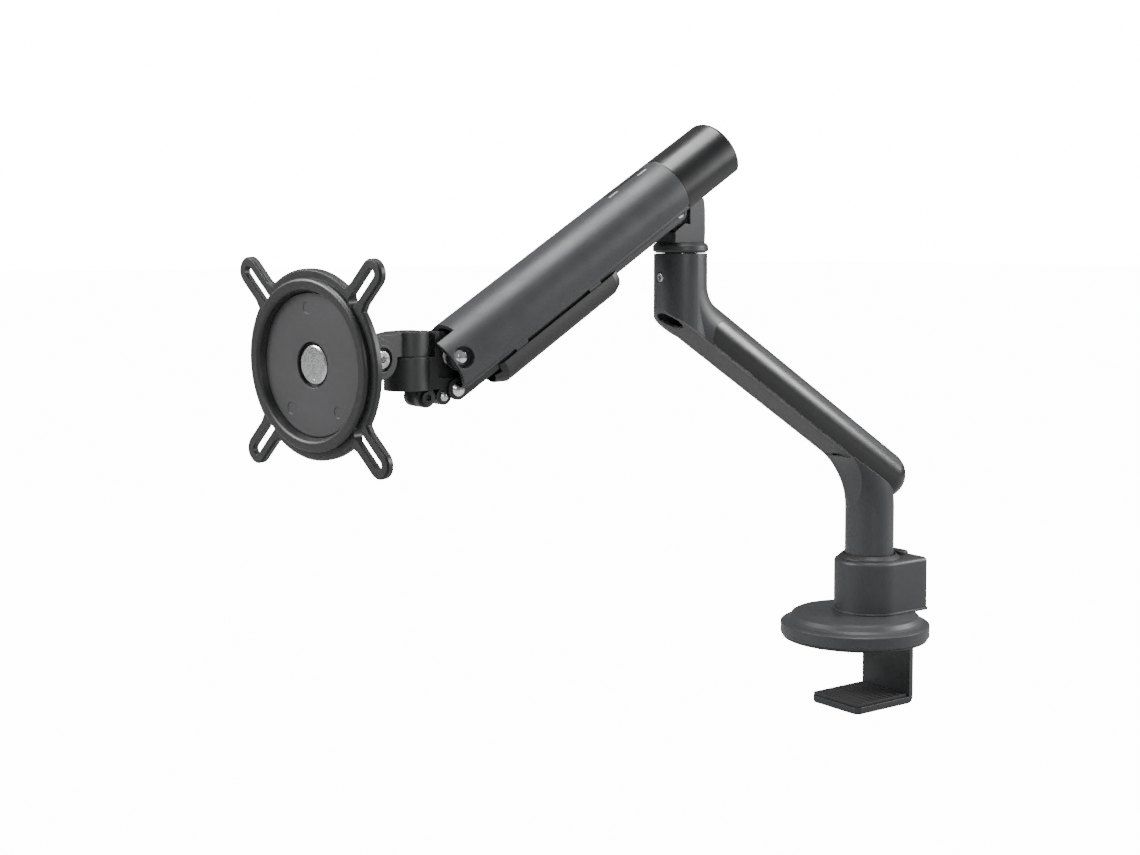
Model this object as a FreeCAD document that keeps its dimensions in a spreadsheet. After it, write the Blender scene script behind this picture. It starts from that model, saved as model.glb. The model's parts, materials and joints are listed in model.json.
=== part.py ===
import FreeCAD, Part
import math
import os
import re
import Sketcher

# Desk-clamp monitor arm. Frame: +Z up, origin on the post's swivel axis at the desk surface,
# the arm reaches out along -Y, and +X is on the right of someone who faces the screen's back.
# All lengths are millimetres and all angles degrees.

Vec = FreeCAD.Vector
Turn = FreeCAD.Rotation
Place = FreeCAD.Placement

SIZES = {
    # base disc, housing and clamp
    "pad_depth": 1.5, "disc_radius": 53.0, "disc_shift": 14.0, "disc_wall": 10.7, "disc_top": 17.5,
    "disc_top_radius": 42.0, "house_top": 55.7,
    "leg_half": 23.3, "leg_front": 18.5, "leg_depth": 4.5, "jaw_reach": 53.0, "jaw_drop": 45.0,
    "jaw_depth": 5.0, "jaw_pad_depth": 2.5, "tab_half": 11.5, "tab_low": 11.0,
    "tab_depth": 4.0, "travel_up": 32.0, "slide_gap": 0.4,
    "clamp_screw_radius": 3.0, "clamp_head_radius": 5.0, "clamp_head_low": 51.5,
    "clamp_head_depth": 3.5, "cap_depth": 2.6, "collar_depth": 3.3, "seat_floor": 49.5,
    # base swivel
    "spindle_radius": 8.0, "spindle_top": 104.5, "flange_radius": 13.0, "run_gap": 0.05,
    "bush_wall": 2.0, "bush_long": 18.0, "face_gap": 0.3, "washer_depth": 1.5,
    # lower arm
    "post_radius": 17.5, "corner_height": 122.7, "beam_incline": 32.8, "elbow_reach": 178.0,
    "socket_rise": 38.6, "socket_step": 0.04, "low_bend": 56.5, "high_bend": 33.5, "beam_floor": 9.5,
    "front_blend": 39.0, "outlet_blend": 10.0, "tail_shift": 13.7, "band_half": 8.7,
    "band_depth": 1.6, "band_end": 193.0, "channel_half": 9.0, "channel_depth": 8.0,
    "tray_half": 12.2, "tray_depth": 1.8, "tray_start": 31.0, "tray_end": 216.0,
    "outlet_radius": 10.4,
    # elbow
    "ring_radius": 18.2, "ring_gap": 1.0, "ring_depth": 6.0, "yoke_half": 11.5, "lobe_half": 8.0,
    "yoke_front": 13.0, "yoke_rear": 11.0, "rear_pivot_back": 12.0, "yoke_height": 39.3,
    "pivot_pin_radius": 4.0, "link_pin_radius": 3.0,
    # upper arm, with the parallelogram's link below its pivots
    "lift_rest": 32.1, "arm_long": 199.0, "link_drop": 19.4, "link_shift": 2.0,
    "tube_radius": 21.5, "tube_wall": 3.0, "tube_drop": 4.0, "tube_cut": 13.6, "tube_front": 7.0,
    "seam_place": 4.6, "cap_back": 46.4, "cap_wall": 1.5, "spigot_back": 14.0,
    "notch_half": 11.4, "notch_long": 14.0, "slot_start": 12.0, "slot_end": 48.0, "slot_wide": 4.4,
    "link_half": 10.5, "link_wall": 2.0, "link_radius": 6.4, "boss_inner": 12.8, "boss_radius": 8.0,
    "side_hole_radius": 6.5, "clip_start": 70.0, "clip_end": 183.0,
    "hook_gap": 0.14, "clip_wall": 1.3, "clip_drop": 19.9, "strut_radius": 9.0, "strut_rise": 6.0,
    "strut_start": 70.0, "strut_end": 160.0, "rod_radius": 4.0, "tension_drop": 6.6,
    # front bracket and head
    "pan_reach": 26.9, "barrel_radius": 13.5, "barrel_low": 19.0, "barrel_high": 0.3,
    "lug_high": 15.2, "tongue_half": 4.6, "neck_half": 7.5, "pan_rest": 13.0, "tilt_reach": 34.7, "tilt_rise": 1.3,
    "tilt_rest": 2.5, "knuckle_radius": 13.5, "knuckle_half": 9.8, "cheek_radius": 11.5,
    "cheek_half": 16.8, "hub_radius": 16.0, "hub_face": 30.2,
    # screen plate
    "plate_back": 31.0, "ear_face": 38.0, "ring_face": 41.5, "dish_floor": 36.0,
    "plate_radius": 53.5, "ring_outer": 48.5, "ring_inner": 41.3, "ear_depth": 4.0,
    "ear_half": 8.2, "slot_half": 3.0, "slot_inner": 51.0, "slot_outer": 72.5,
    "swivel_radius": 5.0, "button_radius": 11.0, "button_bore": 12.9, "mark_spread": 32.0,
}

# Sizes that follow from the ones above, as the sheet's own formulas.
SIZES.update({
    "house_half": "=post_radius + 7.5",
    "clamp_screw_y": "=post_radius + 10.7",
    "tab_rear": "=clamp_screw_y + 4.8",
    "house_rear": "=clamp_screw_y + 7.8",
    "socket_top": "=corner_height + elbow_reach * tan(beam_incline) + socket_rise",
    "ring_low": "=socket_top + ring_gap",
    "ring_high": "=ring_low + ring_depth",
    "rear_pivot_height": "=ring_high + yoke_height",
    "hook_edge": "=sqrt((tube_radius - tube_wall) ^ 2 - tube_cut ^ 2)",
    "clip_radius": "=hook_edge + 0.46",
})

doc = FreeCAD.newDocument("monitor_arm")
sheet = doc.addObject("Spreadsheet::Sheet", "Sizes")
for row, (alias, number) in enumerate(SIZES.items(), start=1):
    sheet.set(f"A{row}", alias)
    sheet.set(f"B{row}", str(number))
    sheet.setAlias(f"B{row}", alias)
doc.recompute()

nodes = {}


def val(expression):
    """The number that an expression of the sheet's sizes gives."""
    return float(sheet.evalExpression(str(expression)))


def bound(expression):
    """The same expression as another object of the document writes it."""
    def owned(word):
        return "Sizes." + word[0] if word[0] in SIZES else word[0]

    return re.sub(r"[a-z][a-z_]+", owned, str(expression))


def bind(owner, name, expression):
    owner.setExpression(name, bound(expression))


def spot(x, y, z):
    return Vec(val(x), val(y), val(z))


def turned_place(x, y, z, axis, angle):
    return Place(spot(x, y, z), Turn(axis, val(angle)))


X_AXIS, Y_AXIS, Z_AXIS = Vec(1, 0, 0), Vec(0, 1, 0), Vec(0, 0, 1)
ALONG_X = Place(Vec(), Turn(Y_AXIS, 90))

# ---- frames of the moving pieces at rest -------------------------------------------------------
REAR_PIVOT_Y = "(-elbow_reach - rear_pivot_back)"
FRONT_PIVOT_Y = f"({REAR_PIVOT_Y} - arm_long * cos(lift_rest))"
FRONT_PIVOT_Z = "(rear_pivot_height - arm_long * sin(lift_rest))"
CORNER_RISE = "(elbow_reach * tan(beam_incline))"
HIGH_CORNER = f"(corner_height + {CORNER_RISE})"

WORLD = Place()
BEAM = turned_place(0, 0, "corner_height", X_AXIS, "-beam_incline")
ELBOW = turned_place(0, "-elbow_reach", 0, X_AXIS, 0)
ARM = turned_place(0, REAR_PIVOT_Y, "rear_pivot_height", X_AXIS, "lift_rest")
LINK = turned_place(0, f"{REAR_PIVOT_Y} + link_shift", "rear_pivot_height - link_drop", X_AXIS,
                    "lift_rest")
BRACKET = turned_place(0, FRONT_PIVOT_Y, FRONT_PIVOT_Z, X_AXIS, 0)
HEAD = turned_place(0, f"{FRONT_PIVOT_Y} - pan_reach", FRONT_PIVOT_Z, Z_AXIS, "pan_rest")
TILT = HEAD * turned_place(0, "-tilt_reach", "tilt_rise", X_AXIS, "tilt_rest")
PLATE = TILT * Place(Vec(), Turn(X_AXIS, 90))


# ---- building blocks ---------------------------------------------------------------------------
def plane(owner, role):
    return next(item for item in owner.Origin.OriginFeatures if item.Role == role)


def sketch(owner, name, role, offset="0"):
    drawing = owner.newObject("Sketcher::SketchObject", name)
    drawing.AttachmentSupport = [(plane(owner, role), "")]
    drawing.MapMode = "FlatFace"
    bind(drawing, "AttachmentOffset.Base.z", offset)
    return drawing


def fix_point(drawing, geometry, end, x, y):
    """Ties one end of a curve to the sketch's origin by two bound distances."""
    for kind, expression in (("DistanceX", x), ("DistanceY", y)):
        number = drawing.addConstraint(Sketcher.Constraint(kind, -1, 1, geometry, end, val(expression)))
        drawing.setExpression(f"Constraints[{number}]", bound(expression))


def outline(drawing, points):
    """A closed outline. A point is (x, y), or (x, y, radius) where an arc leads on from it."""
    spots = [Vec(val(point[0]), val(point[1]), 0) for point in points]
    edges = []
    for index, point in enumerate(points):
        start, end = spots[index], spots[(index + 1) % len(points)]
        if len(point) == 3:
            edges.append(drawing.addGeometry(arc_between(start, end, val(point[2])), False))
        else:
            edges.append(drawing.addGeometry(Part.LineSegment(start, end), False))
    for index, point in enumerate(points):
        here, before = edges[index], edges[index - 1]
        first, last = arc_ends(points[index]), arc_ends(points[index - 1])
        drawing.addConstraint(Sketcher.Constraint("Coincident", before, last[1], here, first[0]))
        fix_point(drawing, here, first[0], point[0], point[1])
        if len(point) == 3:
            number = drawing.addConstraint(Sketcher.Constraint("Radius", here, abs(val(point[2]))))
            drawing.setExpression(f"Constraints[{number}]", bound(f"abs({point[2]})"))


def arc_ends(point):
    """Start and end numbers of the edge that leaves a point: arcs always run anticlockwise."""
    return (2, 1) if len(point) == 3 and val(point[2]) < 0 else (1, 2)


def arc_between(start, end, radius):
    """The short arc from start to end, anticlockwise for a positive radius, clockwise otherwise."""
    if radius < 0:
        start, end = end, start
    chord = end - start
    side = Vec(-chord.y, chord.x, 0).normalize()
    rise = math.sqrt(max(radius * radius - chord.Length ** 2 / 4, 0))
    centre = (start + end) * 0.5 + side * rise
    begin = math.atan2(start.y - centre.y, start.x - centre.x)
    finish = math.atan2(end.y - centre.y, end.x - centre.x)
    return Part.ArcOfCircle(Part.Circle(centre, Z_AXIS, abs(radius)), begin, finish)


def ring_line(drawing, x, y, radius):
    circle = drawing.addGeometry(Part.Circle(Vec(val(x), val(y), 0), Z_AXIS, val(radius)), False)
    fix_point(drawing, circle, 3, x, y)
    number = drawing.addConstraint(Sketcher.Constraint("Radius", circle, val(radius)))
    drawing.setExpression(f"Constraints[{number}]", bound(radius))


def box_points(x_low, x_high, y_low, y_high):
    return [(x_low, y_low), (x_high, y_low), (x_high, y_high), (x_low, y_high)]


def new_body(label, place=WORLD):
    owner = doc.addObject("PartDesign::Body", label)
    owner.Placement = place
    return owner


def pad(owner, drawing, length, both=False):
    feature = owner.newObject("PartDesign::Pad", drawing.Name + "_pad")
    feature.Profile = drawing
    feature.SideType = "Symmetric" if both else "One side"
    bind(feature, "Length", length)
    return feature


def pocket(owner, drawing, length, both=False, against=False):
    """Cuts the drawing out, and stops the build if nothing was cut."""
    doc.recompute()
    before = owner.Shape.Volume
    feature = owner.newObject("PartDesign::Pocket", drawing.Name + "_pocket")
    feature.Profile = drawing
    feature.SideType = "Symmetric" if both else "One side"
    feature.Reversed = against
    bind(feature, "Length", length)
    doc.recompute()
    if not owner.Shape.Volume < before - 0.01:
        raise RuntimeError(f"{drawing.Name} cut nothing")
    return feature


def revolve(owner, drawing, groove=False):
    kind = "PartDesign::Groove" if groove else "PartDesign::Revolution"
    feature = owner.newObject(kind, drawing.Name + "_turn")
    feature.Profile = drawing
    feature.ReferenceAxis = (drawing, ["V_Axis"])
    feature.Angle = 360
    return feature


def edges_where(shape, test):
    return [f"Edge{i}" for i, edge in enumerate(shape.Edges, start=1) if test(edge)]


def soften(owner, base, test, size, kind="PartDesign::Fillet"):
    """Rounds or chamfers the edges of the newest feature that pass the test."""
    doc.recompute()
    names = edges_where(base.Shape, test)
    feature = owner.newObject(kind, base.Name + "_edge")
    feature.Base = (base, names)
    bind(feature, "Radius" if kind.endswith("Fillet") else "Size", size)
    doc.recompute()
    return feature


def level(height, slack=0.01):
    """Test for edges that lie all in one level of the body's own frame."""
    def at_height(edge):
        box = edge.BoundBox
        return max(abs(box.ZMin - height), abs(box.ZMax - height)) < slack

    return at_height


def block(label, place, role, points, length, offset="0"):
    """A piece extruded both ways from a plane, or one way from an offset plane."""
    owner = new_body(label, place)
    drawing = sketch(owner, label + "_face", role, offset)
    outline(drawing, points)
    pad(owner, drawing, length, both=True)
    return owner


def turned(label, place, points):
    """A turned piece: (radius, height) points spun about the local Z axis."""
    owner = new_body(label, place)
    drawing = sketch(owner, label + "_section", "XZ_Plane")
    outline(drawing, points)
    revolve(owner, drawing)
    return owner


def sleeve(label, place, inner, outer, low, high):
    return turned(label, place, [(inner, low), (outer, low), (outer, high), (inner, high)])


def rod(name, place, radius, low, high):
    """A plain round bar along the local Z axis, from low to high."""
    bar = doc.addObject("Part::Cylinder", name)
    bind(bar, "Radius", radius)
    bind(bar, "Height", f"({high}) - ({low})")
    bar.Placement = place * Place(spot(0, 0, low), Turn())
    return bar


def brick(name, place, x_low, x_high, y_low, y_high, z_low, z_high):
    solid = doc.addObject("Part::Box", name)
    spans = (("Length", x_low, x_high), ("Width", y_low, y_high), ("Height", z_low, z_high))
    for side, low, high in spans:
        bind(solid, side, f"({high}) - ({low})")
    solid.Placement = place * Place(spot(x_low, y_low, z_low), Turn())
    return solid


def fuse(name, pieces):
    joined = doc.addObject("Part::MultiFuse", name)
    joined.Shapes = pieces
    return joined


def cut(name, base, tool):
    left = doc.addObject("Part::Cut", name)
    left.Base = base
    left.Tool = tool
    return left


def common(name, first, second):
    shared = doc.addObject("Part::MultiCommon", name)
    shared.Shapes = [first, second]
    return shared


def keep(label, piece):
    """Names a finished sub-part."""
    piece.Label = label
    nodes[label] = piece


# ---- base: disc, pad, housing, clamp ------------------------------------------------------------
DISC = turned_place(0, "-disc_shift", 0, X_AXIS, 0)
SLOT_FRONT = "(leg_front - slide_gap)"
SLOT_REAR = "(leg_front + leg_depth + slide_gap)"
SLOT_HALF = "(leg_half + slide_gap)"
TAB_SPACE_HALF = "(tab_half + slide_gap)"
TAB_SPACE_REAR = "(tab_rear + slide_gap)"
CAVITY_TOP = "(tab_low + tab_depth + travel_up + slide_gap)"
SCREW_RING = 18.5


def leg_space(name, low, high):
    """The room that the clamp leg and its tab slide in."""
    leg = brick(name + "_leg", WORLD, f"-{SLOT_HALF}", SLOT_HALF, SLOT_FRONT, SLOT_REAR, low, high)
    tab = brick(name + "_tab", WORLD, f"-{TAB_SPACE_HALF}", TAB_SPACE_HALF, SLOT_FRONT,
                TAB_SPACE_REAR, low, high)
    return fuse(name, [leg, tab])


def base_screw_set(name, radius, low, high, head=None):
    """Bars or screws at the three fixing points of the housing."""
    bars = []
    for number, angle in enumerate((-90, -25, -155)):
        x, y = SCREW_RING * math.cos(math.radians(angle)), SCREW_RING * math.sin(math.radians(angle))
        here = Place(Vec(x, y, 0), Turn())
        bars.append(rod(f"{name}_{number}", here, radius, low, high))
        if head:
            bars.append(rod(f"{name}_head_{number}", here, head, low, f"{low} + 3"))
    return bars


def make_base_plate():
    rim = "disc_radius"
    disc = turned("disc_blank", DISC, [
        (0, "pad_depth"), (f"{rim} - 1", "pad_depth"), (rim, "pad_depth + 1"), (rim, "disc_wall - 0.7"),
        (f"{rim} - 0.9", "disc_wall"), ("disc_top_radius + 6.6", "disc_wall + 1.2"),
        ("disc_top_radius + 5", "disc_wall + 2.6"), ("disc_top_radius + 3", "disc_top - 1.3"),
        ("disc_top_radius + 1.2", "disc_top - 0.3"), ("disc_top_radius - 1", "disc_top"),
        (0, "disc_top")])
    opened = cut("disc_with_slot", disc, leg_space("disc_slot", -1, "disc_top + 1"))
    holes = fuse("disc_holes", base_screw_set("disc_hole", 2.75, -1, 20) +
                 base_screw_set("disc_sink", 5.1, -1, "pad_depth + 4.6"))
    keep("base_plate", cut("base_plate_solid", opened, holes))


def make_base_pad():
    pad_disc = sleeve("pad_blank", DISC, 0, "disc_radius - 1.5", 0, "pad_depth")
    keep("base_pad", cut("base_pad_solid", pad_disc, leg_space("pad_slot", -1, "pad_depth + 1")))


def housing_outline(half, rear, corner):
    return [(f"-({half})", 0, half), (0, f"-({half})", half), (half, 0),
            (half, f"{rear} - {corner}", corner),
            (f"{half} - {corner}", rear), (f"-({half}) + {corner}", rear, corner),
            (f"-({half})", f"{rear} - {corner}")]


def make_clamp_housing():
    owner = new_body("housing_blank")
    foot = sketch(owner, "housing_foot", "XY_Plane", "disc_top")
    outline(foot, housing_outline("house_half + 1.1", "house_rear + 0.9", "5"))
    pad(owner, foot, "1.3")
    plan = sketch(owner, "housing_plan", "XY_Plane", "disc_top")
    outline(plan, housing_outline("house_half", "house_rear", "4"))
    walls = pad(owner, plan, "house_top - disc_top")
    top = val("house_top")
    soften(owner, walls, level(top), "3")
    screw_spot = turned_place(0, "clamp_screw_y", 0, X_AXIS, 0)
    inside = fuse("housing_inside", [
        leg_space("housing_slot", "disc_top - 1", CAVITY_TOP),
        rod("post_seat", WORLD, "post_radius + 1.9", "seat_floor", "house_top + 9"),
        rod("spindle_bore", WORLD, "spindle_radius", "disc_top - 1", "house_top"),
        rod("flange_seat", WORLD, "flange_radius", "disc_top - 1", "disc_top + 4"),
        rod("screw_bore", screw_spot, "clamp_screw_radius + 0.3", "disc_top", "house_top"),
        rod("head_bore", screw_spot, "clamp_head_radius + 0.5", "clamp_head_low - 0.1", "house_top + 1"),
    ] + base_screw_set("housing_hole", 2.5, "disc_top - 1", "disc_top + 14"))
    keep("clamp_housing", cut("clamp_housing_solid", owner, inside))


def make_clamp_details():
    keep("housing_screws", fuse("housing_screws_solid", base_screw_set(
        "housing_screw", 2.5, "pad_depth + 1.6", "disc_top + 13.5", head=4.6)))
    keep("base_spindle", turned("base_spindle", WORLD, [
        (0, "disc_top"), ("flange_radius", "disc_top"), ("flange_radius", "disc_top + 4"),
        ("spindle_radius", "disc_top + 4"), ("spindle_radius", "spindle_top - 1.5"),
        ("spindle_radius - 1.5", "spindle_top"), (0, "spindle_top")]))
    keep("base_collar", turned("base_collar", WORLD, [
        ("post_radius + 0.35", "house_top - 3"), ("post_radius + 1.9", "house_top - 3"),
        ("post_radius + 1.9", "house_top"), ("post_radius + 4.6", "house_top"),
        ("post_radius + 4.4", "house_top + 0.9"), ("post_radius + 2.6", "house_top + collar_depth - 0.6"),
        ("post_radius + 1.8", "house_top + collar_depth"), ("post_radius + 1", "house_top + collar_depth"),
        ("post_radius + 1", "house_top + 1.4"), ("post_radius + 0.35", "house_top + 1.4")]))
    keep("swivel_washer", sleeve("swivel_washer", WORLD, "spindle_radius + run_gap", "post_radius",
                                 "seat_floor", "seat_floor + washer_depth"))
    cap = block("screw_cap", WORLD, "XY_Plane",
                box_points(-9.5, 9.5, "clamp_screw_y - 5.6", "house_rear - 2.6"),
                "cap_depth", "house_top + cap_depth / 2")
    sides = soften(cap, cap.Tip, lambda e: e.BoundBox.ZLength > 1, "4.5")
    soften(cap, sides, level(val("house_top + cap_depth")), "cap_depth * 0.5")
    keep("screw_cap", cap)


def make_clamp_jaw():
    rear = "(leg_front + leg_depth)"
    low = "(-jaw_drop - jaw_depth)"
    owner = new_body("jaw_blank")
    side = sketch(owner, "jaw_side", "YZ_Plane")
    outline(side, [("leg_front - jaw_reach", low), (f"{rear} - 5", low, 5), (rear, f"{low} + 5"),
                   (rear, "tab_low + tab_depth"), ("leg_front", "tab_low + tab_depth"),
                   ("leg_front", "-jaw_drop"), ("leg_front - jaw_reach", "-jaw_drop")])
    blade = pad(owner, side, "2 * leg_half", both=True)
    front, floor = val("leg_front - jaw_reach"), val(low)

    def front_corner(edge):
        return edge.BoundBox.YMax < front + 0.01 and edge.BoundBox.XLength < 0.01

    def lower_rim(edge):
        middle = edge.CenterOfMass
        return edge.BoundBox.ZLength < 0.01 and middle.y < val("leg_front") - 0.5 and middle.z < floor + 0.01

    rounded = soften(owner, blade, front_corner, "5")
    soften(owner, rounded, lower_rim, "1.2")
    tab = brick("jaw_tab", WORLD, "-tab_half", "tab_half", "leg_front", "tab_rear", "tab_low",
                "tab_low + tab_depth")
    screw_spot = turned_place(0, "clamp_screw_y", 0, X_AXIS, 0)
    hole = rod("tab_hole", screw_spot, "clamp_screw_radius + 0.3", 0, 40)
    keep("clamp_bracket", cut("clamp_bracket_solid", fuse("jaw_with_tab", [owner, tab]), hole))
    grip = block("grip_blank", WORLD, "XY_Plane",
                 box_points("-leg_half + 1.5", "leg_half - 1.5", "leg_front - jaw_reach + 1.5",
                            "leg_front - 1"),
                 "jaw_pad_depth", "-jaw_drop + jaw_pad_depth / 2")
    soften(grip, grip.Tip, lambda e: e.BoundBox.ZLength > 1 and e.CenterOfMass.y < 0, "4")
    keep("jaw_pad", grip)


def make_clamp_screw():
    spot_y = "clamp_screw_y"
    here = turned_place(0, spot_y, 0, X_AXIS, 0)
    nut = turned("clamp_nut", here, [
        ("clamp_screw_radius + run_gap", "tab_low - 5.5"), (4.3, "tab_low - 5.5"), (4.8, "tab_low - 5"),
        (4.8, "tab_low"), ("clamp_screw_radius + run_gap", "tab_low")])
    keep("clamp_nut", nut)
    shank = turned("screw_blank", here, [
        (0, 1), ("clamp_screw_radius - 1", 1), ("clamp_screw_radius", 2),
        ("clamp_screw_radius", "clamp_head_low"), ("clamp_head_radius", "clamp_head_low"),
        ("clamp_head_radius", "clamp_head_low + clamp_head_depth - 0.5"),
        ("clamp_head_radius - 0.5", "clamp_head_low + clamp_head_depth"),
        (0, "clamp_head_low + clamp_head_depth")])
    head_top = "clamp_head_low + clamp_head_depth"
    keep("clamp_screw", hex_socket("clamp_screw", shank, here, 2.7, head_top, 2.4))


def hex_socket(label, screw, place, radius, top, depth):
    """Sinks a hexagon key socket into a screw's end, along its local Z axis."""
    key = doc.addObject("Part::Prism", label + "_key")
    key.Polygon = 6
    key.Circumradius = radius
    bind(key, "Height", f"{depth} + 1")
    key.Placement = place * Place(spot(0, 0, f"{top} - {depth}"), Turn())
    return cut(label + "_solid", screw, key)


# ---- lower arm ----------------------------------------------------------------------------------
def bend_points():
    """Where the centre line's two bends begin and end, as (y, z) expressions."""
    half = "((90 - beam_incline) / 2)"
    low, high = f"(low_bend * tan({half}))", f"(high_bend * tan({half}))"
    run = "cos(beam_incline)"
    rise = "sin(beam_incline)"
    return [("0", f"corner_height - {low}"), (f"-{low} * {run}", f"corner_height + {low} * {rise}"),
            (f"-elbow_reach + {high} * {run}", f"{HIGH_CORNER} - {high} * {rise}"),
            ("-elbow_reach", f"{HIGH_CORNER} + {high}")]


POST_LOW = "(seat_floor + washer_depth + face_gap)"


def centre_line(owner):
    drawing = sketch(owner, "arm_path", "YZ_Plane")
    bends = bend_points()
    stops = [("0", POST_LOW)] + bends + [("-elbow_reach", "socket_top")]
    spots = [Vec(val(y), val(z), 0) for y, z in stops]
    lines = [drawing.addGeometry(Part.LineSegment(spots[i], spots[i + 1]), False) for i in (0, 2, 4)]
    low = drawing.addGeometry(arc_between(spots[1], spots[2], val("low_bend")), False)
    high = drawing.addGeometry(arc_between(spots[3], spots[4], -val("high_bend")), False)
    for line, first in zip(lines, (0, 2, 4)):
        fix_point(drawing, line, 1, *stops[first])
        fix_point(drawing, line, 2, *stops[first + 1])
    joins = ((lines[0], 2, low, 1), (low, 2, lines[1], 1), (lines[1], 2, high, 2), (high, 1, lines[2], 1))
    for pair in joins:
        drawing.addConstraint(Sketcher.Constraint("Coincident", *pair))
    for arc, size in ((low, "low_bend"), (high, "high_bend")):
        number = drawing.addConstraint(Sketcher.Constraint("Radius", arc, val(size)))
        drawing.setExpression(f"Constraints[{number}]", bound(size))
    return drawing


def swept_arm():
    owner = new_body("arm_blank")
    path = centre_line(owner)
    section = sketch(owner, "arm_section", "XY_Plane", POST_LOW)
    ring_line(section, 0, 0, "post_radius")
    sweep = owner.newObject("PartDesign::AdditivePipe", "arm_sweep")
    sweep.Profile = section
    sweep.Spine = path
    corner = sketch(owner, "socket_foot", "XY_Plane", f"{HIGH_CORNER} - 22")
    ring_line(corner, 0, "-elbow_reach", "post_radius + socket_step")
    pad(owner, corner, f"socket_top - {HIGH_CORNER} + 22")
    return owner


def capsule(name, radius, length):
    """The beam's round bar with its ball end behind the post."""
    bar = rod(name + "_bar", BEAM * turned_place(0, "tail_shift", 0, X_AXIS, 90), radius, 0, length)
    ball = doc.addObject("Part::Sphere", name + "_ball")
    bind(ball, "Radius", radius)
    ball.Placement = BEAM * turned_place(0, "tail_shift", 0, X_AXIS, 0)
    return fuse(name, [bar, ball])


def underside_tool():
    """Takes away what lies under the beam's flat floor, with round blends into post and socket."""
    run, rise = "cos(beam_incline)", "sin(beam_incline)"
    half = "((90 - beam_incline) / 2)"

    def floor_point(along):
        return (f"-({along}) * {run} - beam_floor * {rise}",
                f"corner_height + ({along}) * {rise} - beam_floor * {run}")

    meet = f"((post_radius - beam_floor * {rise}) / {run})"
    top_meet = f"((elbow_reach + post_radius - beam_floor * {rise}) / {run})"
    front_z = f"(corner_height - beam_floor * {run} + {meet} * {rise})"
    top_z = f"(corner_height - beam_floor * {run} + {top_meet} * {rise})"
    blend = f"(front_blend * tan({half}))"
    nose = f"(outlet_blend * tan({half}))"
    owner = new_body("underside_tool")
    drawing = sketch(owner, "underside_line", "YZ_Plane")
    a, b = floor_point(f"{meet} + {blend}"), floor_point(f"{top_meet} - {nose}")
    outline(drawing, [("-post_radius", f"{front_z} - {blend}", "front_blend"), a,
                      (b[0], b[1], "-outlet_blend"),
                      ("-elbow_reach - post_radius", f"{top_z} + {nose}"),
                      ("-elbow_reach - 60", f"{top_z} + {nose}"), ("-elbow_reach - 60", 60),
                      ("-post_radius", 60)])
    pad(owner, drawing, "4 * post_radius", both=True)
    return owner


def tail_tool():
    """Cuts the ball end off level with the beam's floor, behind the post."""
    return brick("tail_tool", BEAM, -40, 40, "post_radius * 0.55", 60, -60, "-beam_floor")


def band(name, grow):
    """The stripe round the sides and the ball end that the gloss cover fills."""
    owner = new_body(name, BEAM)
    drawing = sketch(owner, name + "_line", "YZ_Plane")
    half = f"(band_half + {grow})"
    centre = "(band_end - band_half)"
    outline(drawing, [(60, f"-{half}"), (60, half), (f"-{centre}", half, half),
                      (f"-{centre} - {half}", 0, half), (f"-{centre}", f"-{half}")])
    pad(owner, drawing, "4 * post_radius", both=True)
    return owner


def make_lower_casting():
    tail = cut("arm_tail", capsule("beam_core", "post_radius", 120), tail_tool())
    blank = fuse("arm_with_beam", [swept_arm(), tail])
    trimmed = cut("arm_trimmed", blank, underside_tool())
    seat_core = capsule("seat_core", "post_radius - band_depth - 0.1", "band_end + 17")
    seat = cut("cover_seat", band("seat_band", 0.15), seat_core)
    outlet = BEAM * turned_place(0, "-tray_end + 1.5", 0, X_AXIS, 0)
    bush_radius = "spindle_radius + bush_wall"
    bores = fuse("arm_bores", [
        seat,
        rod("post_bore", WORLD, bush_radius, 40, "spindle_top + 4"),
        rod("socket_bore", ELBOW, bush_radius, f"{HIGH_CORNER} + 6", "socket_top + 10"),
        rod("set_screw_bore", SET_SCREW, 2.5, 0, 20),
        rod("set_screw_sink", SET_SCREW, 3.6, "post_radius - 1.6", 30),
        brick("cable_channel", BEAM, "-channel_half", "channel_half", "-tray_end + 2", "-tray_start - 12",
              "-beam_floor - 30", "-beam_floor + channel_depth"),
        rod("cable_outlet", outlet, "outlet_radius", "-beam_floor - 30", "-beam_floor + channel_depth"),
        brick("tray_seat", BEAM, "-tray_half - 0.2", "tray_half + 0.2", "-tray_end - 0.3",
              "-tray_start + 0.3", "-beam_floor - 1", "-beam_floor + tray_depth + 0.1")])
    keep("lower_arm_casting", cut("lower_arm_solid", trimmed, bores))


def make_lower_cover():
    shell = cut("cover_shell", capsule("cover_outer", "post_radius", "band_end + 17"),
                capsule("cover_core", "post_radius - band_depth", "band_end + 17"))
    keep("lower_arm_cover", common("lower_cover_solid", shell, band("cover_band", 0)))


def make_cable_tray():
    """The flat cover under the beam, with a round bite for the cables and a finger notch."""
    owner = new_body("lower_cable_cover", BEAM)
    drawing = sketch(owner, "tray_line", "XY_Plane", "-beam_floor")
    bite = "(tray_half - 3)"
    outline(drawing, [("-tray_half", "-tray_end"), (f"-{bite}", "-tray_end", f"-{bite}"),
                      (0, f"-tray_end + {bite}", f"-{bite}"), (bite, "-tray_end"),
                      ("tray_half", "-tray_end"),
                      ("tray_half", "-tray_start - 2"), ("tray_half - 2", "-tray_start"), (6, "-tray_start"),
                      (4.5, "-tray_start - 3.5"), (-4.5, "-tray_start - 3.5"), (-6, "-tray_start"),
                      ("-tray_half + 2", "-tray_start"), ("-tray_half", "-tray_start - 2")])
    pad(owner, drawing, "tray_depth")
    keep("lower_cable_cover", owner)


SET_SCREW = turned_place(0, "-elbow_reach", "socket_top - 15.5", X_AXIS, 90)


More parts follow.
